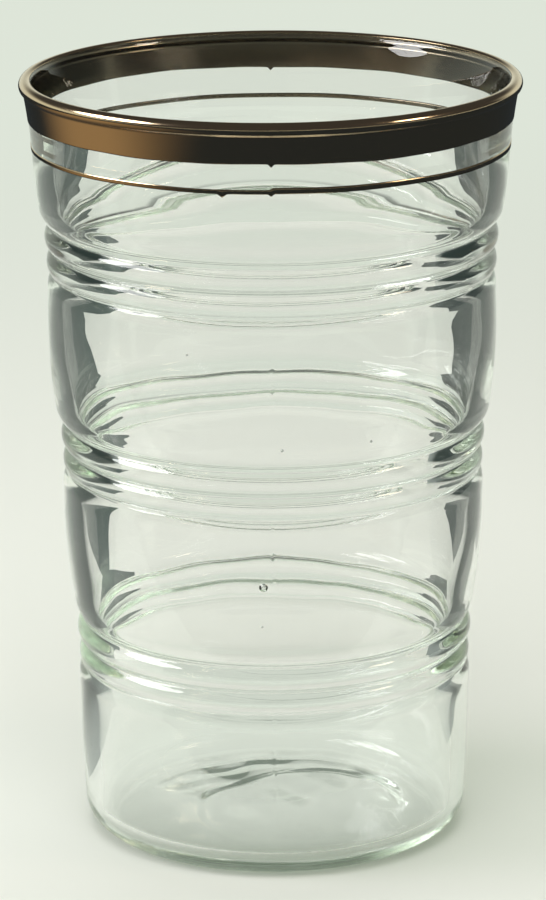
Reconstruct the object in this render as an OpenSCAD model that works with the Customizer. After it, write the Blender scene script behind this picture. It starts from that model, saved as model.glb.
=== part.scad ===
// Ribbed tea tumbler: one pressed glass body with a gold band over the lip and a gold hairline below it.
// Millimetres, +Z up, the axis of the glass is Z and the table is z = 0.

/* [Overall] */
// Height of the glass to the top of the lip
height = 109; // [95:0.5:130]
// Outside diameter across the lip
rim_d = 70; // [64:0.5:80]
// Diameter of the foot above the heel
foot_d = 54.88; // [48:0.1:60]

/* [Lip] */
// Radius of the rounded lip
lip_r = 0.93; // [0.7:0.01:1.2]
// How far the lip stands out from the flare under it
lip_out = 0.43; // [0.1:0.01:0.6]
// Depth below the lip at which the flare starts
flare_drop = 11.5; // [11:0.5:14]

/* [Ribs] */
// Depth below the lip of the valley in the middle of the highest pair of ribs
high_pair_drop = 24.1; // [22:0.1:28]
// Height of the valley in the middle of the lowest pair of ribs
low_pair_z = 27.6; // [24:0.1:32]
// Step from rib to rib within a pair
rib_step = 3.6; // [3.2:0.1:4]
// Radius of the rounded crest of a rib
rib_r = 2.15; // [2:0.05:2.6]
// Height of a rib over the valley beside it
rib_h = 0.9; // [0.6:0.05:1]
// How far the line over the ribs passes inside the lip
rib_top_in = 1.75; // [1.6:0.05:2.5]
// How far the lowest ribs stand outside the foot
rib_low_out = 0.66; // [0:0.02:1.5]

/* [Walls] */
// How far the collar's upper end stands out over the line of the ribs
collar_top_out = 0.78; // [0.6:0.01:0.9]
// How far the collar's lower end stands out over the line of the ribs
collar_low_out = 0.51; // [0.3:0.01:0.8]
// How far the top of the upper wall stands out over the line of the ribs
upper_top_out = 0.14; // [0:0.01:0.5]
// How far the bottom of the upper wall stands out over the line of the ribs
upper_low_out = 0.49; // [0:0.01:0.8]
// How far the top of the lower wall stands out over the line of the ribs
lower_top_out = 0.27; // [0:0.01:0.5]
// How far the bottom of the lower wall stands out over the line of the ribs
lower_low_out = 0.06; // [0:0.01:0.5]
// How far the top of the foot stands out over the line of the ribs
foot_top_out = 0.29; // [0:0.01:0.5]
// Swell of the collar
collar_swell = 0.09; // [0.05:0.01:0.2]
// Swell of the upper and lower walls
wall_swell = 0.39; // [0.1:0.01:0.6]
// Swell of the foot
foot_swell = 0.08; // [0.05:0.01:0.3]
// Height of a wall's lower end above the valley under it
roll_rise = 2.64; // [2:0.02:3.2]
// Depth of a wall's top below the valley over it
shoulder_drop = 1.65; // [1.3:0.05:2.2]
// Radius of the rounded top of a wall, which runs in under the ribs over it
shoulder_r = 4.5; // [3:0.1:6]

/* [Base] */
// Radius of the rounded heel
heel_r = 4.28; // [3:0.1:5]
// Width of the flat ring that the glass stands on
ring_w = 3.16; // [1.5:0.02:5]
// Depth of the hollow under the foot
hollow_h = 0.5; // [0.4:0.05:1.2]
// Thickness of the glass over the middle of the hollow
floor_t = 1.7; // [1.4:0.05:3]

/* [Inside] */
// Thickness of the wall at the ends of each wall between the ribs
wall_t = 2.4; // [2.1:0.05:2.6]
// Thickness of the wall under the crest of a rib
rib_t = 2.7; // [2.7:0.05:3.2]
// How much thinner the upper wall is midway between its ends
upper_thin = 0.15; // [0.05:0.01:0.3]
// How much thinner the lower wall is midway between its ends
lower_thin = 0.08; // [0.05:0.01:0.3]
// Depth below the lip at which the inside starts to open
mouth_drop = 12.5; // [12:0.1:13.5]
// Radius of the rounded corner between wall and floor
corner_r = 2.6; // [2:0.1:4]
// Depth by which the inside flare runs in to the lip
lip_blend = 0.03; // [0.02:0.01:0.1]

/* [Gold] */
// Thickness of the gold
gold_t = 0.15; // [0.1:0.01:0.2]
// Depth of the band's lower edge below the lip
band_drop = 5.5; // [4.5:0.1:7]
// Angle round the lip at which the band ends on the inside
band_wrap = 130; // [100:1:140]
// Depth of the middle of the hairline below the lip
hairline_drop = 9.3; // [8.5:0.1:9.8]
// Width of the hairline
hairline_w = 0.76; // [0.5:0.02:1]

/* [Hidden] */
turn_fn = 180;
ring_fn = 96;
swell_fn = 1440;
// width of the pieces the profile is cut from, how far a cutter runs past an edge, and how far two pieces lap
reach = rim_d;
past = 2;
lap = 0.4;

// heights of the flare and of the three pairs of ribs, which are evenly spaced
flare_z = height - flare_drop;
pair_step = (height - high_pair_drop - low_pair_z) / 2;
pair_z = [low_pair_z + 2 * pair_step, low_pair_z + pair_step, low_pair_z];

// line over the ribs, from the lowest pair to the lip: its radius at a height, and that of the valleys
rib_low_x = foot_d / 2 + rib_low_out;
rib_taper = (rim_d / 2 - rib_top_in - rib_low_x) / (height - low_pair_z);
function crest(z) = rib_low_x + rib_taper * (z - low_pair_z);
function valley(z) = [crest(z) - rib_h, z];

// upper and lower ends of the four walls, as radius and height
function over_ribs(out, z) = [crest(z) + out, z];
collar_top = over_ribs(collar_top_out, flare_z);
collar_low = over_ribs(collar_low_out, pair_z[0] + rib_step + roll_rise);
upper_top = over_ribs(upper_top_out, pair_z[0] - rib_step - shoulder_drop);
upper_low = over_ribs(upper_low_out, pair_z[1] + rib_step + roll_rise);
lower_top = over_ribs(lower_top_out, pair_z[1] - rib_step - shoulder_drop);
lower_low = over_ribs(lower_low_out, pair_z[2] + rib_step + roll_rise);
foot_top = over_ribs(foot_top_out, pair_z[2] - rib_step - shoulder_drop);
foot_low = [foot_d / 2, heel_r];

// swelling arc between two ends: its radius, its centre, the centre of a smaller arc that continues it at one end,
// and the radius at which that arc runs in to a point
function swell_r(top, low, rise) = pow(norm(top - low), 2) / (8 * rise) + rise / 2;
function inward(top, low) = [low.y - top.y, top.x - low.x] / norm(top - low);
function swell_c(top, low, rise) = (top + low) / 2 + inward(top, low) * (swell_r(top, low, rise) - rise);
function end_c(end, centre, r) = end - r * (end - centre) / norm(end - centre);
function end_r(end, centre, to) = pow(norm(to - end), 2) * norm(centre - end) / (2 * (to - end) * (centre - end));

// heel: an arc that touches both the table and the swell of the foot
foot_c = swell_c(foot_top, foot_low, foot_swell);
foot_r = swell_r(foot_top, foot_low, foot_swell);
heel_c = [foot_c.x + sqrt(pow(foot_r - heel_r, 2) - pow(heel_r - foot_c.y, 2)), heel_r];
heel_top = heel_c + heel_r * (heel_c - foot_c) / norm(heel_c - foot_c);

// lip and flare: the flare leaves the collar without a corner and ends under the lip
lip_c = [rim_d / 2 - lip_r, height - lip_r];
flare_top = [rim_d / 2 - lip_out, lip_c.y];
collar_c = swell_c(collar_top, collar_low, collar_swell);
collar_out = (collar_top - collar_c) / norm(collar_top - collar_c);
flare_run = flare_top - collar_top;
flare_r = (flare_run * flare_run) / (2 * (flare_run * collar_out));
flare_c = collar_top + flare_r * collar_out;

// inside: the wall behind the foot and the collar is even, the bore behind the ribs is straight, the corner is rounded,
// and a flare runs in to the lip
function behind(end) = end - [wall_t, 0];
function bore(z) = [crest(z) - rib_t, z];
function slope(top, low) = (top.x - low.x) / (top.y - low.y);
foot_angle = atan(slope(foot_top, foot_low));
collar_angle = atan(slope(collar_top, collar_low));
floor_z = hollow_h + floor_t;
corner_z = floor_z + corner_r;
corner_c = [
    behind(foot_low).x + slope(foot_top, foot_low) * (corner_z - foot_low.y) - corner_r / cos(foot_angle),
    corner_z,
];
corner_top = corner_c + corner_r * [cos(foot_angle), -sin(foot_angle)];
mouth_z = height - mouth_drop;
mouth = [behind(collar_low).x + slope(collar_top, collar_low) * (mouth_z - collar_low.y), mouth_z];
to_lip = mouth - lip_c;
lip_in = lip_r - lip_blend;
mouth_r = (lip_in * lip_in - to_lip * to_lip)
    / (2 * (to_lip.x * cos(collar_angle) - to_lip.y * sin(collar_angle) + lip_in));
mouth_c = mouth + mouth_r * [cos(collar_angle), -sin(collar_angle)];
lip_join = lip_c + lip_r * (lip_c - mouth_c) / norm(lip_c - mouth_c);

// hollow under the foot, as part of a ball
hollow_x = heel_c.x - ring_w;
hollow_r = (pow(hollow_x, 2) + pow(hollow_h, 2)) / (2 * hollow_h);

// heights of the gold
band_z = height - band_drop;
hairline_z = height - hairline_drop;

// strip of the profile between two heights, from radius a to radius b
module strip(a, b, low, high) {
    translate([a, low]) square([b - a, high - low]);
}

// wall that swells out between its two ends, cut off at two heights
module wall(top, low, rise, low_cut, high_cut) {
    intersection() {
        translate(swell_c(top, low, rise)) circle(r = swell_r(top, low, rise), $fn = swell_fn);
        strip(0, reach, low_cut, high_cut);
    }
}

// rounded end of a wall, between two heights, that continues its swell
module wall_end(c, r, low, high) {
    strip(0, c.x, max(low, c.y - r), min(high, c.y + r));
    intersection() {
        translate(c) circle(r = r, $fn = ring_fn);
        strip(c.x, reach, low, high);
    }
}

// the outside of the flare, grown by the thickness of a layer on it
module flare(low, high, grow) {
    difference() {
        strip(0, flare_c.x - flare_r / 2, low, high);
        translate(flare_c) circle(r = flare_r - grow, $fn = swell_fn);
    }
}

// one pair of ribs
module rib_pair(z) {
    for (side = [-1, 1]) {
        rib_z = z + side * rib_step / 2;
        half = rib_step / 2 + lap;
        wall_end([crest(rib_z) - rib_r, rib_z], rib_r, rib_z - half, rib_z + half);
    }
}

// wall with its shoulder and its roll, between a pair of ribs over it and a pair under it
module shoulder(top, low, rise, over) {
    centre = end_c(top, swell_c(top, low, rise), shoulder_r);
    wall_end(centre, shoulder_r, top.y - lap, over - rib_step / 2);
}

module roll(top, low, rise, under) {
    centre = swell_c(top, low, rise);
    roll_r = end_r(low, centre, valley(under + rib_step));
    wall_end(end_c(low, centre, roll_r), roll_r, under + rib_step, low.y + lap);
}

module panel(top, low, over, under) {
    shoulder(top, low, wall_swell, over);
    wall(top, low, wall_swell, low.y, top.y);
    roll(top, low, wall_swell, under);
}

// solid outside of the glass: the core is the bottom of every valley
module outside() {
    polygon([
        [0, foot_low.y],
        valley(foot_low.y),
        valley(collar_low.y),
        [0, collar_low.y],
    ]);
    translate(lip_c) circle(r = lip_r, $fn = ring_fn);
    strip(0, lip_c.x, lip_c.y - lap, lip_join.y);
    flare(flare_z, lip_c.y, 0);
    wall(collar_top, collar_low, collar_swell, collar_low.y, flare_z + lap);
    roll(collar_top, collar_low, collar_swell, pair_z[0]);
    for (z = pair_z) rib_pair(z);
    panel(upper_top, upper_low, pair_z[0], pair_z[1]);
    panel(lower_top, lower_low, pair_z[1], pair_z[2]);
    shoulder(foot_top, foot_low, foot_swell, pair_z[2]);
    wall(foot_top, foot_low, foot_swell, heel_top.y, foot_top.y);
    wall_end(heel_c, heel_r, 0, heel_top.y + lap);
}

// space inside the glass: the wall runs in to the corner below it and the opening above it
module inside() {
    wall_end(corner_c, corner_r, floor_z, corner_top.y);
    polygon([
        [0, corner_c.y - corner_r / 2],
        [corner_c.x, corner_c.y - corner_r / 2],
        corner_top,
        behind(foot_top),
        bore(pair_z[2] - rib_step / 2),
        bore(pair_z[0] + rib_step / 2),
        behind(collar_low),
        mouth,
        [corner_c.x, mouth.y + past],
        [0, mouth.y + past],
    ]);
    wall(behind(upper_top), behind(upper_low), wall_swell + upper_thin, pair_z[1], pair_z[0]);
    wall(behind(lower_top), behind(lower_low), wall_swell + lower_thin, pair_z[2], pair_z[1]);
    difference() {
        strip(0, lip_c.x, mouth.y, height + past);
        translate(mouth_c) circle(r = mouth_r, $fn = swell_fn);
        translate(lip_c) circle(r = lip_r, $fn = ring_fn);
    }
}

module glass_body() {
    color([0.80, 0.90, 0.85, 0.6])
        rotate_extrude($fn = turn_fn)
            difference() {
                outside();
                inside();
                translate([0, hollow_h - hollow_r]) circle(r = hollow_r, $fn = swell_fn);
            }
}

module rim_band() {
    color([0.83, 0.65, 0.30])
        rotate_extrude($fn = turn_fn)
            difference() {
                union() {
                    translate(lip_c) circle(r = lip_r + gold_t, $fn = ring_fn);
                    flare(band_z, lip_c.y, gold_t);
                }
                translate(lip_c) circle(r = lip_r, $fn = ring_fn);
                flare(band_z - past, lip_c.y, 0);
                // the inside of the lip is left bare
                polygon([
                    lip_c,
                    lip_c + past * [cos(band_wrap), sin(band_wrap)],
                    lip_c + past * [-1, 0],
                ]);
            }
}

module hairline_ring() {
    color([0.83, 0.65, 0.30])
        rotate_extrude($fn = turn_fn)
            difference() {
                flare(hairline_z - hairline_w / 2, hairline_z + hairline_w / 2, gold_t);
                flare(hairline_z - hairline_w, hairline_z + hairline_w, 0);
            }
}

glass_body();
rim_band();
hairline_ring();
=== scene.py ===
"""Ribbed tea glass with a gold band over the lip and a gold hairline under it, in plain studio light.

Everything is in the frame of the CAD part: metres, +Z up along the axis, the table at z = 0 and the camera
on the -Y side. Sizes of the profile are written in millimetres and become metres when a mesh is made.
"""

import math

import bpy
import numpy as np
from mathutils import Matrix, Vector


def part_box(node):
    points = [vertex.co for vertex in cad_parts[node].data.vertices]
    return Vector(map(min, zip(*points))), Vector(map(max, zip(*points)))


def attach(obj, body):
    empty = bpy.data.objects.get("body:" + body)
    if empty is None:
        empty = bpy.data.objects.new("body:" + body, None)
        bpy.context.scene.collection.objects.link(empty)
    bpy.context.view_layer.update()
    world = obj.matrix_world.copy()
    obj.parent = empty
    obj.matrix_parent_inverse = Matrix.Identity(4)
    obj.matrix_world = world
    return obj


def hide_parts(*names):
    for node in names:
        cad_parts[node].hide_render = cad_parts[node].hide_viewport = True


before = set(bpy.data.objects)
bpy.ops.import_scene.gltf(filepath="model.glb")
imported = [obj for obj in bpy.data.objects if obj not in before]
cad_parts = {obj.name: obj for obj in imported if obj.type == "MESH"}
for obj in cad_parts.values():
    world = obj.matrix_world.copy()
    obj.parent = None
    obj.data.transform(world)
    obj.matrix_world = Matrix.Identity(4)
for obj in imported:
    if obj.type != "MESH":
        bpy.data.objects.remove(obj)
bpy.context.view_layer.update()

MM = 0.001
TAU = 2 * math.pi
FRONT = -math.pi / 2
BACK = math.pi / 2
DOWN = -math.pi / 2
UP = math.pi / 2

# Sizes taken from the CAD nodes
glass_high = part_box("glass_body")[1]
band_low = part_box("rim_band")[0]
hairline_low, hairline_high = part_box("hairline_ring")
height = glass_high.z / MM
rim_r = glass_high.x / MM
band_z = band_low.z / MM
hairline_z = (hairline_low.z + hairline_high.z) / 2 / MM

# Lip and flare
lip_r = 0.93
lip_out = 0.43
lip_out_angle = math.radians(12)
flare_drop = 11.5

# Ribs
high_pair_drop = 24.1
low_pair_z = 27.6
rib_step = 3.6
rib_r = 2.15
rib_h = 0.9
rib_top_in = 1.75
rib_low_out = 0.66

# Walls, as distances outside the line over the ribs
collar_top_out = 0.78
collar_low_out = 0.51
upper_top_out = 0.14
upper_low_out = 0.49
lower_top_out = 0.27
lower_low_out = 0.06
foot_top_out = 0.29
collar_swell = 0.09
wall_swell = 0.39
foot_swell = 0.08
roll_rise = 2.64
shoulder_drop = 1.65
shoulder_r = 4.5
valley_blend = 0.2

# Foot
foot_d = 54.88
heel_r = 4.28
ring_w = 3.16
hollow_h = 0.5

# Inside
floor_t = 1.7
wall_t = 2.4
mouth_drop = 12.5
corner_r = 2.6
lip_blend = 0.03
even_spread = 0.9
even_reach = 2.5
even_count = 21
upper_thin = 0.15
lower_thin = 0.08

# Uneven pressed glass
inner_wave = 0.030
outer_wave = 0.010
floor_wave = 0.05
under_wave = 0.04
mark_x = 4.5
mark_y = -0.9
mark_r = 15.0
mark_h = 0.2
mark_edge = 0.9
mark_fade = 3.0
wave_drop = 16.0
plain_drop = 11.0
seam_h = 0.025
seam_w = 0.25
seam_even = 0.7
seam_dots = 0.3
seam_dot_rate = 2.9

# Bubbles in the front wall, as distance round from the front seam, height and radius
bubbles = (
    (-1.4, 43.4, 0.62),
    (-11.6, 76.2, 0.16),
    (1.2, 63.2, 0.2),
    (13.6, 63.6, 0.18),
    (-1.6, 37.6, 0.15),
)
bubble_turns = 24

# Gold
gold_out = 0.05
gold_in = 0.03
band_wrap = math.radians(130)
band_sag = 0.22
tick_w = 0.3
tick_drop = 0.42
left_line_w = 0.62
right_line_w = 0.88
line_step = 0.18
line_drop = 0.05
line_blend = 0.25
line_tick = 0.3
drip_at = -6.9
drip_w = 0.3
drip_drop = 0.5

# Steps of the meshes
turn_steps = 288
seam_span = 1.6
seam_step = 0.12
rib_z_step = 0.15
wall_z_step = 0.7
lip_z_step = 0.1
bore_z_step = 0.8
floor_step = 0.8
ring_step = 0.6
arc_points = 24
lip_points = 26
cap_points = 40
band_lip_points = 22
band_rows = 30
line_rows = 4
slope_step = 0.05
seat_step = 0.01


# Arcs of the profile

def point(r, z):
    return np.array([r, z], float)


def unit(v):
    return v / np.linalg.norm(v)


def swell(top, low, rise):
    """Centre and radius of the arc that stands out by rise between the two ends of a wall."""
    chord = np.linalg.norm(top - low)
    radius = chord**2 / (8 * rise) + rise / 2
    inward = point(low[1] - top[1], top[0] - low[0]) / chord
    return (top + low) / 2 + inward * (radius - rise), radius


def end_centre(end, centre, radius):
    """Centre of a smaller arc that continues a swell at one of its ends."""
    return end - radius * unit(end - centre)


def end_radius(end, centre, to):
    """Radius at which such an arc runs in to a point."""
    run = to - end
    return run @ run * np.linalg.norm(centre - end) / (2 * (run @ (centre - end)))


def bulge(z, centre, radius, low, high):
    """Radius at heights z of an arc that stands out from its centre, and 0 outside its two heights."""
    square = radius**2 - (z - centre[1]) ** 2
    on_arc = (square >= 0) & (z >= low) & (z <= high)
    return np.where(on_arc, centre[0] + np.sqrt(np.maximum(square, 0)), 0.0)


def arc(centre, radius, start, end, count):
    """Points on an arc between two angles."""
    angles = np.linspace(start, end, count)
    return np.stack([centre[0] + radius * np.cos(angles), centre[1] + radius * np.sin(angles)], axis=1)


def rounded_max(a, b, width):
    """The larger of two radii, with a rounded change from one to the other."""
    share = np.clip(0.5 + 0.5 * (b - a) / width, 0, 1)
    return a + (b - a) * share + width * share * (1 - share)


def smooth(value, start, end):
    share = np.clip((value - start) / (end - start), 0, 1)
    return share * share * (3 - 2 * share)


def spaced(low, high, step):
    return np.linspace(low, high, max(2, math.ceil(abs(high - low) / step) + 1))


# Line over the ribs and the ends of the walls
pair_step = (height - high_pair_drop - low_pair_z) / 2
pair_z = [low_pair_z + 2 * pair_step, low_pair_z + pair_step, low_pair_z]
rib_low_x = foot_d / 2 + rib_low_out
rib_taper = (rim_r - rib_top_in - rib_low_x) / (height - low_pair_z)


def crest(z):
    return rib_low_x + rib_taper * (z - low_pair_z)


def over_ribs(out, z):
    return point(crest(z) + out, z)


flare_z = height - flare_drop
collar_top = over_ribs(collar_top_out, flare_z)
collar_low = over_ribs(collar_low_out, pair_z[0] + rib_step + roll_rise)
upper_top = over_ribs(upper_top_out, pair_z[0] - rib_step - shoulder_drop)
upper_low = over_ribs(upper_low_out, pair_z[1] + rib_step + roll_rise)
lower_top = over_ribs(lower_top_out, pair_z[1] - rib_step - shoulder_drop)
lower_low = over_ribs(lower_low_out, pair_z[2] + rib_step + roll_rise)
foot_top = over_ribs(foot_top_out, pair_z[2] - rib_step - shoulder_drop)

# Heel, lip and flare
foot_c, foot_r = swell(foot_top, point(foot_d / 2, heel_r), foot_swell)
heel_c = point(foot_c[0] + math.sqrt((foot_r - heel_r) ** 2 - (heel_r - foot_c[1]) ** 2), heel_r)
heel_angle = math.atan2(heel_c[1] - foot_c[1], heel_c[0] - foot_c[0])
heel_top = heel_c + heel_r * unit(heel_c - foot_c)
lip_c = point(rim_r - lip_r, height - lip_r)
lip_start = lip_c[1] + lip_r * math.sin(lip_out_angle)
collar_c, collar_r = swell(collar_top, collar_low, collar_swell)
flare_run = point(rim_r - lip_out, lip_c[1]) - collar_top
flare_r = flare_run @ flare_run / (2 * (flare_run @ unit(collar_top - collar_c)))
flare_c = collar_top + flare_r * unit(collar_top - collar_c)


# Outside of the glass

def roll(z, low, centre, under):
    """Radius at heights z of the rounded lower end of a wall, which runs in to the valley under it."""
    radius = end_radius(low, centre, point(crest(under) - rib_h, under))
    return bulge(z, end_centre(low, centre, radius), radius, under, low[1])


def shoulder(z, top, centre, over):
    """Radius at heights z of the rounded top of a wall, which runs in under the pair of ribs over it."""
    return bulge(z, end_centre(top, centre, shoulder_r), shoulder_r, top[1], over - rib_step / 2)


def panel(z, top, low, over, under):
    """Radius at heights z of one wall between two pairs of ribs, with its shoulder and its roll."""
    centre, radius = swell(top, low, wall_swell)
    wall = bulge(z, centre, radius, low[1], top[1])
    return np.maximum.reduce([wall, shoulder(z, top, centre, over), roll(z, low, centre, under + rib_step)])


def collar(z):
    wall = bulge(z, collar_c, collar_r, collar_low[1], flare_z)
    flare = flare_c[0] - np.sqrt(np.maximum(flare_r**2 - (z - flare_c[1]) ** 2, 0))
    flare = np.where((z >= flare_z) & (z <= lip_c[1]), flare, 0.0)
    return np.maximum.reduce([wall, flare, roll(z, collar_low, collar_c, pair_z[0] + rib_step)])


def foot(z):
    wall = bulge(z, foot_c, foot_r, heel_top[1], foot_top[1])
    return np.maximum(wall, shoulder(z, foot_top, foot_c, pair_z[2]))


def outside(z):
    """Outside radius at heights z, from the heel to the lip, with rounded valleys."""
    pieces = [
        collar(z),
        bulge(z, lip_c, lip_r, lip_c[1] - lip_r, height),
        panel(z, upper_top, upper_low, pair_z[0], pair_z[1]),
        panel(z, lower_top, lower_low, pair_z[1], pair_z[2]),
        foot(z),
    ]
    for valley in pair_z:
        for rib_z in (valley - rib_step / 2, valley + rib_step / 2):
            pieces.append(bulge(z, point(crest(rib_z) - rib_r, rib_z), rib_r, rib_z - rib_r, rib_z + rib_r))
    radius = np.where((z > heel_r) & (z < collar_low[1]), crest(z) - rib_h, 0.0)
    for piece in pieces:
        radius = rounded_max(radius, piece, valley_blend)
    return radius


def outside_heights():
    """Heights of the outside from the lip down to the heel, close together at the ribs and the lip."""
    top = lip_c[1] - 2 * lip_r
    runs = [spaced(lip_start, top, lip_z_step)]
    for valley in pair_z:
        low = valley - rib_step - shoulder_drop
        high = valley + rib_step + roll_rise
        runs.append(spaced(top, high, wall_z_step))
        runs.append(spaced(high, low, rib_z_step))
        top = low
    runs.append(spaced(top, heel_top[1], wall_z_step))
    return np.unique(np.concatenate(runs).round(6))[::-1]


# Inside of the glass
floor_z = hollow_h + floor_t
hollow_x = heel_c[0] - ring_w
hollow_r = (hollow_x**2 + hollow_h**2) / (2 * hollow_h)


def inside(z):
    """Inside radius at heights z: a wall's thickness in from the outside, with the ribs evened out.

    The two walls between the ribs are thinner midway.
    """
    total = np.zeros_like(z, float)
    weights = 0.0
    for step in np.linspace(-even_reach, even_reach, even_count):
        weight = math.exp(-step * step / 2)
        total = total + weight * outside(np.clip(z + step * even_spread, heel_top[1], flare_z))
        weights += weight
    radius = total / weights - wall_t
    for top, low, thin in ((upper_top, upper_low, upper_thin), (lower_top, lower_low, lower_thin)):
        from_middle = (2 * z - top[1] - low[1]) / (top[1] - low[1])
        radius = radius + thin * np.maximum(1 - from_middle**2, 0) ** 2
    return radius


def inside_slope(z):
    rise = inside(np.array(z + slope_step)) - inside(np.array(z - slope_step))
    return float(rise) / (2 * slope_step)


corner_angle = math.atan(inside_slope(floor_z + corner_r))
corner_end = floor_z + corner_r * (1 - math.sin(corner_angle))
corner_wall_r = float(inside(np.array(corner_end)))
corner_c = point(corner_wall_r - corner_r * math.cos(corner_angle), floor_z + corner_r)
mouth_z = height - mouth_drop
mouth_angle = math.atan(inside_slope(mouth_z))
mouth = point(float(inside(np.array(mouth_z))), mouth_z)
mouth_normal = point(math.cos(mouth_angle), -math.sin(mouth_angle))
to_lip = mouth - lip_c
lip_in = lip_r - lip_blend
mouth_r = (lip_in**2 - to_lip @ to_lip) / (2 * (to_lip @ mouth_normal + lip_in))
mouth_c = mouth + mouth_r * mouth_normal
lip_in_angle = math.atan2(lip_c[1] - mouth_c[1], lip_c[0] - mouth_c[0])


def inside_profile():
    """Points of the inside, from the middle of the floor up to the lip."""
    flat = spaced(0, corner_c[0], floor_step)[1:-1]
    floor = np.stack([flat, np.full_like(flat, floor_z)], axis=1)
    corner = arc(corner_c, corner_r, DOWN, -corner_angle, arc_points)
    bore_z = spaced(corner[-1][1], mouth[1], bore_z_step)[1:-1]
    wall = np.stack([inside(bore_z), bore_z], axis=1)
    opening = arc(mouth_c, mouth_r, math.pi - mouth_angle, lip_in_angle, arc_points)[:-1]
    return np.concatenate([floor, corner, wall, opening])


def outside_profile():
    """Points of the lip, the outside and the underside, down to the middle of the hollow."""
    lip = arc(lip_c, lip_r, lip_in_angle, lip_out_angle, lip_points)[:-1]
    z = outside_heights()[:-1]
    walls = np.stack([outside(z), z], axis=1)
    heel = arc(heel_c, heel_r, heel_angle, DOWN, arc_points)
    ring_r = spaced(heel_c[0], hollow_x, ring_step)[1:]
    ring = np.stack([ring_r, np.zeros_like(ring_r)], axis=1)
    hollow_angle = math.asin(hollow_x / hollow_r)
    cap = arc(point(0, hollow_h - hollow_r), hollow_r, UP - hollow_angle, UP, cap_points)[1:-1]
    return np.concatenate([lip, walls, heel, ring, cap])


def turn_angles():
    """Angles round the glass, close together at the two mould seams."""
    even = np.arange(turn_steps) / turn_steps * TAU - math.pi
    near = np.arange(-seam_span, seam_span + seam_step / 2, seam_step) / rim_r
    angles = np.concatenate([even, FRONT + near, BACK + near])
    return np.unique(angles.round(5))


# Meshes

def add_object(name, data):
    piece = bpy.data.objects.new(name, data)
    bpy.context.scene.collection.objects.link(piece)
    return piece


def make_object(name, points, faces, material):
    """Object of smooth faces from points in millimetres."""
    mesh = bpy.data.meshes.new(name)
    mesh.from_pydata((points * MM).tolist(), [], faces)
    mesh.polygons.foreach_set("use_smooth", [True] * len(mesh.polygons))
    mesh.update()
    mesh.materials.append(material)
    return add_object(name, mesh)


def grid_faces(rows, columns, closed=False):
    """Faces between neighbouring rows of points that each go once round. Closed ones end at the first row."""
    faces = []
    for row in range(rows if closed else rows - 1):
        below = row * columns
        above = (row + 1) % rows * columns
        for column in range(columns):
            side = (column + 1) % columns
            faces.append((below + column, below + side, above + side, above + column))
    return faces


def waves(angle, z, terms):
    """Sum of waves that run round and up the wall. A term is size, turns, length in mm and phase."""
    total = np.zeros(np.broadcast(angle, z).shape)
    for size, turns, length, phase in terms:
        total = total + size * np.sin(turns * angle + TAU * z / length + phase)
    return total


inner_terms = (
    (1.0, 2, 61.0, 0.4),
    (0.9, 3, -43.0, 1.9),
    (0.6, 5, 27.0, 3.1),
    (0.35, 8, -19.0, 0.8),
    (0.14, 13, 11.0, 5.2),
    (0.07, 21, -7.3, 2.6),
)
outer_terms = (
    (1.0, 3, 37.0, 2.2),
    (0.7, 4, -23.0, 0.3),
    (0.3, 9, 13.0, 4.4),
)


def ripple(value, terms):
    """Sum of waves along one value. A term is size, rate and phase."""
    return sum(size * np.sin(rate * value + phase) for size, rate, phase in terms)


wander_terms = ((0.12, 0.21, 0.0), (0.08, 0.57, 1.0))
mark_terms = ((0.7, 2, 0.5), (0.4, 5, 0.0), (0.25, 9, 2.0))
band_terms = ((0.08, 3, 0.7), (0.05, 7, 0.0), (0.03, 19, 1.0))
line_terms = ((0.04, 2, 0.5), (0.03, 11, 0.0))


def level_waves(x, y, terms):
    """Sum of waves over a level face. A term is size, rate along X, rate along Y and phase."""
    return sum(size * np.sin(rate_x * x + rate_y * y + phase) for size, rate_x, rate_y, phase in terms)


floor_terms = (
    (1.0, 0.21, 0.13, 0.6),
    (0.8, 0.11, -0.29, 2.1),
    (0.45, 0.47, 0.38, 4.0),
    (0.3, 0.71, -0.52, 0.0),
)
under_terms = (
    (1.0, 0.33, -0.27, 0.0),
    (0.6, 0.58, 0.44, 1.2),
)


def seam(angle, z):
    """Faint broken ridge where the two halves of the mould met."""
    total = np.zeros(np.broadcast(angle, z).shape)
    for where in (FRONT, BACK):
        across = ((angle - where) * rim_r - ripple(z, wander_terms)) / seam_w
        total = total + np.exp(-(across**2)) * (seam_even + seam_dots * np.sin(seam_dot_rate * z))
    return seam_h * total


def floor_rise(x, y):
    """Uneven inside floor."""
    return floor_wave * level_waves(x, y, floor_terms)


def under_rise(x, y):
    """Round mark of the mould's base plate under the foot, off the middle, and uneven glass round it."""
    r = np.hypot(x - mark_x, y - mark_y)
    turn = np.arctan2(y - mark_y, x - mark_x)
    edge = mark_r + ripple(turn, mark_terms)
    mark = mark_h * (1 - smooth(r, edge - mark_edge, edge + mark_edge))
    return mark + under_wave * level_waves(x, y, under_terms)


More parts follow.
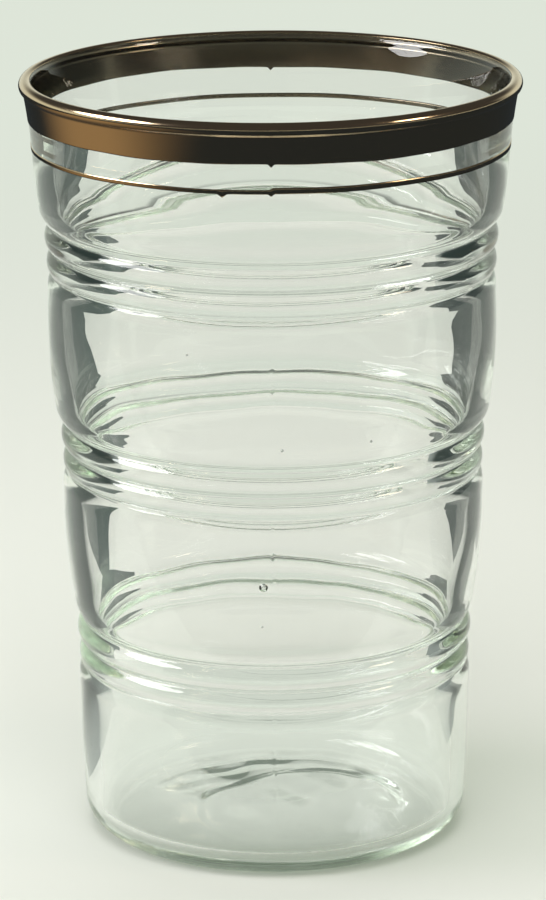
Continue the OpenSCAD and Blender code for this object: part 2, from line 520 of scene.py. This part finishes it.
def bubble(along_front, height_up, radius):
    """Points and faces of a small round hollow in the middle of the front wall."""
    middle_r = float(outside(np.array(height_up)) + inside(np.array(height_up))) / 2
    angle = FRONT + along_front / middle_r
    middle = np.array([middle_r * math.cos(angle), middle_r * math.sin(angle), height_up])
    rises = np.linspace(DOWN, UP, bubble_turns // 2 + 1)[1:-1]
    turns = np.arange(bubble_turns) / bubble_turns * TAU
    points = [middle - (0, 0, radius)]
    for rise in rises:
        ring = np.stack([np.cos(turns), np.sin(turns), np.full_like(turns, math.tan(rise))], axis=1)
        points.extend(middle + radius * math.cos(rise) * ring)
    points.append(middle + (0, 0, radius))
    faces = []
    for low, side, above_side, above in grid_faces(len(rises), bubble_turns):
        faces.append((low + 1, above + 1, above_side + 1, side + 1))
    last = len(points) - 1
    top_ring = last - bubble_turns
    for turn in range(bubble_turns):
        side = (turn + 1) % bubble_turns
        faces.append((0, 1 + turn, 1 + side))
        faces.append((last, top_ring + side, top_ring + turn))
    return np.array(points), faces


def glass_piece(material):
    """Inside, lip, outside and underside as one closed skin, and a small skin for each bubble."""
    inner = inside_profile()
    outer = outside_profile()
    angles = turn_angles()
    profile = np.concatenate([inner, outer])
    r = profile[:, :1] * np.ones_like(angles)
    z = profile[:, 1:] * np.ones_like(angles)
    angle = angles * np.ones_like(r)
    is_inner = (np.arange(len(profile)) < len(inner))[:, None]
    is_under = (~is_inner) & (r < hollow_x)
    on_wall = (~is_inner) & (z > heel_r)
    up_wall = smooth(z, floor_z, floor_z + corner_r)
    under_lip = 1 - smooth(z, height - wave_drop, height - plain_drop)
    on_floor = is_inner * (1 - up_wall) * (1 - smooth(r, corner_c[0], corner_c[0] + corner_r))
    on_hollow = is_under * (1 - smooth(r, hollow_x - mark_fade, hollow_x))
    x = r * np.cos(angle)
    y = r * np.sin(angle)
    z_moved = z + on_floor * floor_rise(x, y) + on_hollow * under_rise(x, y)
    r = r + is_inner * inner_wave * waves(angle, z, inner_terms) * up_wall * under_lip
    r = r + on_wall * (seam(angle, z) + outer_wave * waves(angle, z, outer_terms)) * under_lip
    points = np.stack([r * np.cos(angle), r * np.sin(angle), z_moved], axis=2).reshape(-1, 3)
    middle = [[0, 0, floor_z + floor_rise(0.0, 0.0)], [0, 0, hollow_h + under_rise(0.0, 0.0)]]
    points = np.concatenate([points, middle])
    columns = len(angles)
    faces = [tuple(reversed(face)) for face in grid_faces(len(profile), columns)]
    top_middle = len(points) - 2
    under_middle = len(points) - 1
    last = (len(profile) - 1) * columns
    for column in range(columns):
        side = (column + 1) % columns
        faces.append((top_middle, column, side))
        faces.append((under_middle, last + side, last + column))
    for along_front, height_up, radius in bubbles:
        bubble_points, bubble_faces = bubble(along_front, height_up, radius)
        first = len(points)
        points = np.concatenate([points, bubble_points])
        faces.extend(tuple(first + corner for corner in face) for face in bubble_faces)
    return make_object("tea_glass", points, faces, material)


def seat_on(z):
    """Points and outward normals of the outside at heights z."""
    slope = (outside(z + seat_step) - outside(z - seat_step)) / (2 * seat_step)
    normal = np.stack([np.ones_like(z), -slope], axis=1)
    return np.stack([outside(z), z], axis=1), normal / np.linalg.norm(normal, axis=1)[:, None]


def shell_object(name, seats, normals, angles, material, dull_and_shaded_back_material):
    """Thin closed gold shell on a seat that may differ from angle to angle.

    Its inner side, which shows through the glass, has a darker copy of the gold: partly the duller back of
    the lustre, partly painted shade.
    """
    count = seats.shape[1]
    loop = np.concatenate([seats + gold_out * normals, (seats - gold_in * normals)[:, ::-1]], axis=1)
    rows = []
    for row in range(2 * count):
        r = loop[:, row, 0]
        z = loop[:, row, 1]
        rows.append(np.stack([r * np.cos(angles), r * np.sin(angles), z], axis=1))
    faces = grid_faces(2 * count, len(angles), closed=True)
    piece = make_object(name, np.concatenate(rows), faces, material)
    piece.data.materials.append(dull_and_shaded_back_material)
    is_under = np.zeros((2 * count, len(angles)), int)
    is_under[count:2 * count - 1] = 1
    piece.data.polygons.foreach_set("material_index", is_under.ravel())
    is_smooth = np.ones((2 * count, len(angles)), bool)
    is_smooth[[count - 1, 2 * count - 1]] = False
    piece.data.polygons.foreach_set("use_smooth", is_smooth.ravel())
    return piece


def along(angle, where=FRONT):
    """Distance round the rim in mm from an angle, to the right as the camera sees the front."""
    turn = (angle - where + math.pi) % TAU - math.pi
    return turn * rim_r


def band_edge(angle):
    """Height of the band's lower edge, which sags at the front and runs down a little at each seam."""
    edge = band_z - band_sag * math.cos(angle - FRONT) + ripple(angle, band_terms)
    for where in (FRONT, BACK):
        edge -= tick_drop * math.exp(-((along(angle, where) / tick_w) ** 2))
    return edge


def rim_band(material, dull_and_shaded_back_material):
    angles = turn_angles()
    lip = arc(lip_c, lip_r, lip_out_angle, band_wrap, band_lip_points)[1:]
    seats = []
    normals = []
    for angle in angles:
        seat, normal = seat_on(np.linspace(band_edge(angle), lip_start, band_rows))
        seats.append(np.concatenate([seat, lip]))
        normals.append(np.concatenate([normal, (lip - lip_c) / lip_r]))
    seats = np.array(seats)
    normals = np.array(normals)
    return shell_object("rim_gold", seats, normals, angles, material, dull_and_shaded_back_material)


def line_edges(angle):
    """Lower and upper edge of the hairline, whose two ends don't quite meet at the front seam."""
    place = along(angle)
    right = 0.5 + 0.5 * math.tanh(place / line_blend)
    far = abs(place) / (math.pi * rim_r)
    width = left_line_w + (right_line_w - left_line_w) * right * (1 - far)
    middle = hairline_z - line_drop + line_step * (right - 0.5) * (1 - far) + ripple(angle, line_terms)
    low = middle - width / 2 - drip_drop * math.exp(-(((place - drip_at) / drip_w) ** 2))
    low -= line_tick * math.exp(-((place / tick_w) ** 2))
    return low, middle + width / 2


def hairline(material, dull_and_shaded_back_material):
    angles = turn_angles()
    seats = []
    normals = []
    for angle in angles:
        low, high = line_edges(angle)
        seat, normal = seat_on(np.linspace(low, high, line_rows))
        seats.append(seat)
        normals.append(normal)
    seats = np.array(seats)
    normals = np.array(normals)
    return shell_object("hairline_gold", seats, normals, angles, material, dull_and_shaded_back_material)


# Colours and finishes
backdrop_colour = (0.73, 0.785, 0.69)
floor_colour = (0.815, 0.84, 0.765)
floor_roughness = 0.7
floor_specular = 0.1
glass_ior = 1.52
glass_tint = (0.68, 0.86, 0.62)
glass_density = 9.0
glass_shadow = (0.83, 0.86, 0.83)
gold_colour = (0.76, 0.58, 0.38)
gold_roughness = 0.14
# Darker copy of the gold for the side that shows through the glass: partly the duller back of the lustre,
# partly painted shade
dull_and_shaded_gold_back_colour = (0.235, 0.20, 0.15)
gold_under_roughness = 0.15

# Floor, in metres: where it turns into the backdrop, and the pool of painted light that the floor shows
# through the glass round the foot
far_start = 0.15
far_end = 0.54
light_pool_middle = (0, 0.022, 0)
light_pool_start = 0.018
light_pool_end = 0.055
floor_half = 6.0
floor_drop = 0.00005

# Sky, as shares of a direction along the axes
sky_up_start = 0.35
sky_up_end = 0.60
sky_glossy_rise = 0.22
sky_behind_start = -0.35
sky_behind_end = -0.05
sky_right_start = 0.60
sky_right_end = 0.85
sky_dark = (0.05, 0.05, 0.05)
sky_dark_through = (0.22, 0.25, 0.22)


# Nodes

def ramp(tree, value, start, end, falling=False):
    """Smooth change from 0 to 1 between two values, or from 1 to 0."""
    node = tree.nodes.new("ShaderNodeMapRange")
    node.interpolation_type = "SMOOTHSTEP"
    node.inputs["From Min"].default_value = start
    node.inputs["From Max"].default_value = end
    if falling:
        node.inputs["To Min"].default_value = 1.0
        node.inputs["To Max"].default_value = 0.0
    tree.links.new(value, node.inputs["Value"])
    return node.outputs["Result"]


def combined(tree, operation, first, second):
    """Two values joined by one operation."""
    node = tree.nodes.new("ShaderNodeMath")
    node.operation = operation
    tree.links.new(first, node.inputs[0])
    tree.links.new(second, node.inputs[1])
    return node.outputs["Value"]


def distance_from(tree, middle):
    """Distance on an object from one of its points."""
    place = tree.nodes.new("ShaderNodeTexCoord")
    node = tree.nodes.new("ShaderNodeVectorMath")
    node.operation = "DISTANCE"
    node.inputs[1].default_value = middle
    tree.links.new(place.outputs["Object"], node.inputs[0])
    return node.outputs["Value"]


def colour_mix(tree, share, first, second):
    """Mix of two colours, as a node."""
    node = tree.nodes.new("ShaderNodeMix")
    node.data_type = "RGBA"
    node.inputs["A"].default_value = (*first, 1)
    node.inputs["B"].default_value = (*second, 1)
    tree.links.new(share, node.inputs["Factor"])
    return node


def shader_mix(tree, share, first, second):
    node = tree.nodes.new("ShaderNodeMixShader")
    tree.links.new(share, node.inputs["Fac"])
    tree.links.new(first, node.inputs[1])
    tree.links.new(second, node.inputs[2])
    return node.outputs["Shader"]


def glow_node(tree):
    """Light of strength 1, whose colour is set by the caller."""
    node = tree.nodes.new("ShaderNodeEmission")
    node.inputs["Strength"].default_value = 1.0
    return node


# Materials

def new_material(name):
    material = bpy.data.materials.new(name)
    material.use_nodes = True
    return material, material.node_tree


def show(tree, shader):
    """Make a shader the surface of the material."""
    tree.links.new(shader, tree.nodes["Material Output"].inputs["Surface"])


def glass_material():
    """Clear glass with a faint green tint in its thickness. It throws a pale shadow."""
    material, tree = new_material("green_tinged_glass")
    shader = tree.nodes["Principled BSDF"]
    shader.inputs["Base Color"].default_value = (1, 1, 1, 1)
    shader.inputs["Roughness"].default_value = 0.0
    shader.inputs["IOR"].default_value = glass_ior
    shader.inputs["Transmission Weight"].default_value = 1.0
    tint = tree.nodes.new("ShaderNodeVolumeAbsorption")
    tint.inputs["Color"].default_value = (*glass_tint, 1)
    tint.inputs["Density"].default_value = glass_density
    tree.links.new(tint.outputs["Volume"], tree.nodes["Material Output"].inputs["Volume"])
    clear = tree.nodes.new("ShaderNodeBsdfTransparent")
    clear.inputs["Color"].default_value = (*glass_shadow, 1)
    path = tree.nodes.new("ShaderNodeLightPath")
    show(tree, shader_mix(tree, path.outputs["Is Shadow Ray"], shader.outputs["BSDF"], clear.outputs["BSDF"]))
    return material


def metal_material(name, colour, roughness):
    material, tree = new_material(name)
    shader = tree.nodes["Principled BSDF"]
    shader.inputs["Base Color"].default_value = (*colour, 1)
    shader.inputs["Metallic"].default_value = 1.0
    shader.inputs["Roughness"].default_value = roughness
    return material


def floor_material():
    """Floor that shows the pale backdrop far from the glass.

    Under the foot and behind it, the floor is paler through the glass: a painted pool of light that stands in
    for light the glass lets through onto the floor.
    """
    material, tree = new_material("pale_floor")
    shader = tree.nodes["Principled BSDF"]
    shader.inputs["Base Color"].default_value = (*floor_colour, 1)
    shader.inputs["Roughness"].default_value = floor_roughness
    shader.inputs["Specular IOR Level"].default_value = floor_specular
    glow = glow_node(tree)
    glow.inputs["Color"].default_value = (*backdrop_colour, 1)
    path = tree.nodes.new("ShaderNodeLightPath")
    through = path.outputs["Is Transmission Ray"]
    seen = combined(tree, "MAXIMUM", path.outputs["Is Camera Ray"], path.outputs["Is Glossy Ray"])
    seen = combined(tree, "MAXIMUM", seen, through)
    far = ramp(tree, distance_from(tree, (0, 0, 0)), far_start, far_end)
    # Painted light: a paler pool round the foot, shown only through the glass
    light_pool = ramp(tree, distance_from(tree, light_pool_middle), light_pool_start, light_pool_end, falling=True)
    far_share = combined(tree, "MULTIPLY", far, seen)
    light_pool_share = combined(tree, "MULTIPLY", light_pool, through)
    share = combined(tree, "MAXIMUM", far_share, light_pool_share)
    show(tree, shader_mix(tree, share, shader.outputs["BSDF"], glow.outputs["Emission"]))
    material.cycles.emission_sampling = "NONE"
    return material


def painted_card_material(name, axis, start, end, start_colour, end_colour, after_reflection=False):
    """Glowing card of painted light and shade, whose colour changes from one to another along X or Y.

    It shows to all light, or only to light that was reflected before.
    """
    material, tree = new_material(name)
    tree.nodes.remove(tree.nodes["Principled BSDF"])
    place = tree.nodes.new("ShaderNodeTexCoord")
    split = tree.nodes.new("ShaderNodeSeparateXYZ")
    tree.links.new(place.outputs["Object"], split.inputs["Vector"])
    change = ramp(tree, split.outputs[axis], start, end)
    colour = colour_mix(tree, change, start_colour, end_colour)
    glow = glow_node(tree)
    tree.links.new(colour.outputs["Result"], glow.inputs["Color"])
    surface = glow.outputs["Emission"]
    if after_reflection:
        clear = tree.nodes.new("ShaderNodeBsdfTransparent")
        path = tree.nodes.new("ShaderNodeLightPath")
        surface = shader_mix(tree, path.outputs["Glossy Depth"], clear.outputs["BSDF"], surface)
    show(tree, surface)
    material.cycles.emission_sampling = "NONE"
    return material


def gold_reflection_card_material(name, middle, start, end, warm_glow_colour, end_colour):
    """Dark glowing card with a warm glow to one side, which the satin gold reflects: painted shade, and a
    painted warm reflection. Sharp reflections, as in glass, miss it.
    """
    material, tree = new_material(name)
    tree.nodes.remove(tree.nodes["Principled BSDF"])
    change = ramp(tree, distance_from(tree, middle), start, end)
    colour = colour_mix(tree, change, warm_glow_colour, end_colour)
    glow = glow_node(tree)
    tree.links.new(colour.outputs["Result"], glow.inputs["Color"])
    clear = tree.nodes.new("ShaderNodeBsdfTransparent")
    path = tree.nodes.new("ShaderNodeLightPath")
    sharp = path.outputs["Is Singular Ray"]
    show(tree, shader_mix(tree, sharp, glow.outputs["Emission"], clear.outputs["BSDF"]))
    material.cycles.emission_sampling = "NONE"
    return material


# Stage

def rectangle(low_x, low_y, high_x, high_y):
    return [(low_x, low_y), (high_x, low_y), (high_x, high_y), (low_x, high_y)]


def flat_object(name, outlines, z, material):
    """Flat faces at one height, in metres."""
    corners = []
    faces = []
    for outline in outlines:
        faces.append(tuple(range(len(corners), len(corners) + len(outline))))
        corners.extend((x, y, z) for x, y in outline)
    mesh = bpy.data.meshes.new(name)
    mesh.from_pydata(corners, [], faces)
    mesh.materials.append(material)
    return add_object(name, mesh)


def flat_card(name, outlines, material, z, transmission, glossy):
    """Flat card on the floor that only reflections or refractions show. It throws no shadow."""
    card = flat_object(name, outlines, z, material)
    card.visible_camera = False
    card.visible_diffuse = False
    card.visible_shadow = False
    card.visible_transmission = transmission
    card.visible_glossy = glossy


def studio_floor(material):
    outline = rectangle(-floor_half, -floor_half, floor_half, floor_half)
    floor = flat_object("floor", [outline], -floor_drop, material)


def softbox(name, place, target, width, tall, power, colour=(1, 1, 1), seen=True):
    """Lamp with a soft edge. An unseen one gives light but no reflection."""
    data = bpy.data.lights.new(name, "AREA")
    data.shape = "ELLIPSE"
    data.size = width
    data.size_y = tall
    data.energy = power
    data.color = colour
    lamp = add_object(name, data)
    lamp.location = place
    lamp.rotation_euler = (Vector(target) - Vector(place)).to_track_quat("-Z", "Y").to_euler()
    lamp.visible_camera = False
    lamp.visible_glossy = seen
    lamp.visible_transmission = seen


def studio_world():
    """Sky that is pale near the horizon at the back and left, and dark elsewhere.

    In reflections the pale part ends lower down. Through glass the dark part is less dark.
    """
    world = bpy.data.worlds.new("studio")
    bpy.context.scene.world = world
    world.use_nodes = True
    tree = world.node_tree
    place = tree.nodes.new("ShaderNodeTexCoord")
    split = tree.nodes.new("ShaderNodeSeparateXYZ")
    tree.links.new(place.outputs["Generated"], split.inputs["Vector"])
    path = tree.nodes.new("ShaderNodeLightPath")
    raised = tree.nodes.new("ShaderNodeMath")
    raised.operation = "MULTIPLY_ADD"
    raised.inputs[1].default_value = sky_glossy_rise
    tree.links.new(path.outputs["Is Glossy Ray"], raised.inputs[0])
    tree.links.new(split.outputs["Z"], raised.inputs[2])
    low = ramp(tree, raised.outputs["Value"], sky_up_start, sky_up_end, falling=True)
    behind = ramp(tree, split.outputs["Y"], sky_behind_start, sky_behind_end)
    left = ramp(tree, split.outputs["X"], sky_right_start, sky_right_end, falling=True)
    share = combined(tree, "MULTIPLY", low, combined(tree, "MULTIPLY", behind, left))
    dark = colour_mix(tree, path.outputs["Is Transmission Ray"], sky_dark, sky_dark_through)
    colour = colour_mix(tree, share, sky_dark, backdrop_colour)
    tree.links.new(dark.outputs["Result"], colour.inputs["A"])
    sky = tree.nodes["Background"]
    sky.inputs["Strength"].default_value = 1.0
    tree.links.new(colour.outputs["Result"], sky.inputs["Color"])


def photo_camera():
    """Camera at the photograph's place, found from the outline, the lip, the gold edges and the foot."""
    focal_px = 4385.69
    frame_px = 900
    sensor = 36.0
    place = (0, -0.60067, 0.22364)
    pitch = 0.27401
    roll_angle = -0.00660
    data = bpy.data.cameras.new("camera")
    data.sensor_width = sensor
    data.lens = focal_px / frame_px * sensor
    data.clip_start = 0.01
    data.clip_end = 50
    camera = add_object("camera", data)
    ahead = Vector((0, math.cos(pitch), -math.sin(pitch)))
    right = Vector((1, 0, 0))
    up = right.cross(ahead)
    tilted_right = math.cos(roll_angle) * right + math.sin(roll_angle) * up
    tilted_up = math.cos(roll_angle) * up - math.sin(roll_angle) * right
    turn = Matrix((tilted_right, tilted_up, -ahead)).transposed()
    camera.matrix_world = Matrix.Translation(place) @ turn.to_4x4()
    bpy.context.scene.camera = camera


# Pieces
glass = glass_piece(glass_material())
gold = metal_material("gold_lustre", gold_colour, gold_roughness)
# Darker gold for the inner side of the shells: partly the duller back of the lustre, partly painted shade
dull_and_shaded_gold_back = metal_material("gold_back_dull_and_shaded", dull_and_shaded_gold_back_colour, gold_under_roughness)
band = rim_band(gold, dull_and_shaded_gold_back)
line = hairline(gold, dull_and_shaded_gold_back)
for piece, node, slot_name in (
    (glass, "glass_body", "glass"),
    (band, "rim_band", "gold"),
    (line, "hairline_ring", "gold"),
):
    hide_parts(node)
    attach(piece, "root")

# Sky, camera and floor
studio_world()
photo_camera()
studio_floor(floor_material())

# Heights of the cards above the table, and how far they reach, in metres
low_card_z = 0.0001
high_card_z = 0.0002
card_half = 1.6
card_front = -1.5
card_back = 1.6

# Dark glowing cards behind the glass, left and right, which the sides of the wall show by refraction: painted
# shade that stands in for dark surroundings, paler towards the glass
outer_edge = [(0.110, 0.155), (0.140, 0.200), (0.250, 0.380), (1.8, 2.6), (0.68, 2.6), (0.40, 1.6)]
left_inner_edge = [
    (-0.170, 0.607), (-0.091, 0.355), (-0.068, 0.279), (-0.054, 0.208),
    (-0.050, 0.150), (-0.047, 0.115), (-0.044, 0.089),
]
right_inner_edge = [
    (0.155, 0.607), (0.093, 0.365), (0.077, 0.309), (0.070, 0.222),
    (0.055, 0.160), (0.054, 0.138), (0.060, 0.105),
]
left_outline = [(-x, y) for x, y in outer_edge] + left_inner_edge
right_outline = outer_edge + right_inner_edge
left_shade_card = painted_card_material(
    "left_shade_card", axis="X", start=-0.2, end=-0.03,
    start_colour=(0.018, 0.034, 0.031), end_colour=(0.055, 0.086, 0.076),
)
right_shade_card = painted_card_material(
    "right_shade_card", axis="X", start=0.08, end=0.16,
    start_colour=(0.06, 0.075, 0.07), end_colour=(0.02, 0.025, 0.025),
)
flat_card("left_flag", [left_outline], left_shade_card, high_card_z, transmission=True, glossy=False)
flat_card("right_flag", [right_outline], right_shade_card, high_card_z, transmission=True, glossy=False)

# Cards beside the glass and in front of it, which show only to light that was reflected before: painted light
# where they are pale, near the glass and to the left, and painted shade where they are dark
edge_y = 0.014
left_edge_outline = [
    (-card_half, edge_y), (-0.034, edge_y), (-0.034, 0.046), (-0.58, card_back), (-card_half, card_back),
]
right_edge_outline = [
    (0.0525, edge_y), (card_half, edge_y), (card_half, card_back), (0.50, card_back), (0.056, 0.050),
]
front_outline = rectangle(-card_half, card_front, card_half, -0.05)
edge_light_and_shade_card = painted_card_material(
    "edge_light_and_shade_card", axis="Y", start=edge_y, end=0.050,
    start_colour=(0.30, 0.34, 0.31), end_colour=(0.03, 0.045, 0.04), after_reflection=True,
)
front_light_and_shade_card = painted_card_material(
    "front_light_and_shade_card", axis="X", start=-0.30, end=-0.10,
    start_colour=(0.40, 0.36, 0.29), end_colour=(0.08, 0.085, 0.08), after_reflection=True,
)
edge_outlines = [left_edge_outline, right_edge_outline]
flat_card("edge_flag", edge_outlines, edge_light_and_shade_card, low_card_z, transmission=True, glossy=False)
flat_card("front_flag", [front_outline], front_light_and_shade_card, low_card_z, transmission=True, glossy=False)

# Card that the gold reflects, open behind the middle of the glass: painted shade, with a warm glow on the
# left that paints a warm reflection on the left of the gold
gold_gap = 0.03
gold_outlines = [
    rectangle(-card_half, card_front, -gold_gap, card_back),
    rectangle(-gold_gap, card_front, gold_gap, -gold_gap),
    rectangle(gold_gap, card_front, card_half, card_back),
]
gold_reflection_card = gold_reflection_card_material(
    "gold_reflection_card", middle=(-0.28, 0.0, 0.0), start=0.04, end=0.26,
    warm_glow_colour=(0.34, 0.255, 0.15), end_colour=(0.023, 0.030, 0.036),
)
flat_card("gold_flag", gold_outlines, gold_reflection_card, low_card_z, transmission=False, glossy=True)

# Lamps, with places and sizes in metres and power in watts
glass_middle = (0, 0, 0.06)
softbox("key", place=(-1.20, -0.175, 0.77), target=glass_middle, width=1.02, tall=0.61, power=14.3)
softbox(
    "second", place=(0.68, -0.26, 0.46), target=glass_middle, width=0.24, tall=0.14, power=0.9,
    colour=(1.0, 0.86, 0.68),
)
softbox(
    "front", place=(-0.06, -0.48, 0.92), target=(0.0, -0.12, 0), width=0.66, tall=0.66, power=5.2, seen=False,
)
softbox(
    "backdrop", place=(0.0, 1.00, 1.40), target=(0, 0.55, 0), width=1.60, tall=1.60, power=8.0, seen=False,
)

# Render settings of the glass
scene = bpy.context.scene
scene.view_settings.view_transform = "Standard"
scene.cycles.max_bounces = 48
scene.cycles.transmission_bounces = 48
scene.cycles.glossy_bounces = 48
scene.cycles.transparent_max_bounces = 24
scene.cycles.caustics_reflective = False
scene.cycles.caustics_refractive = False
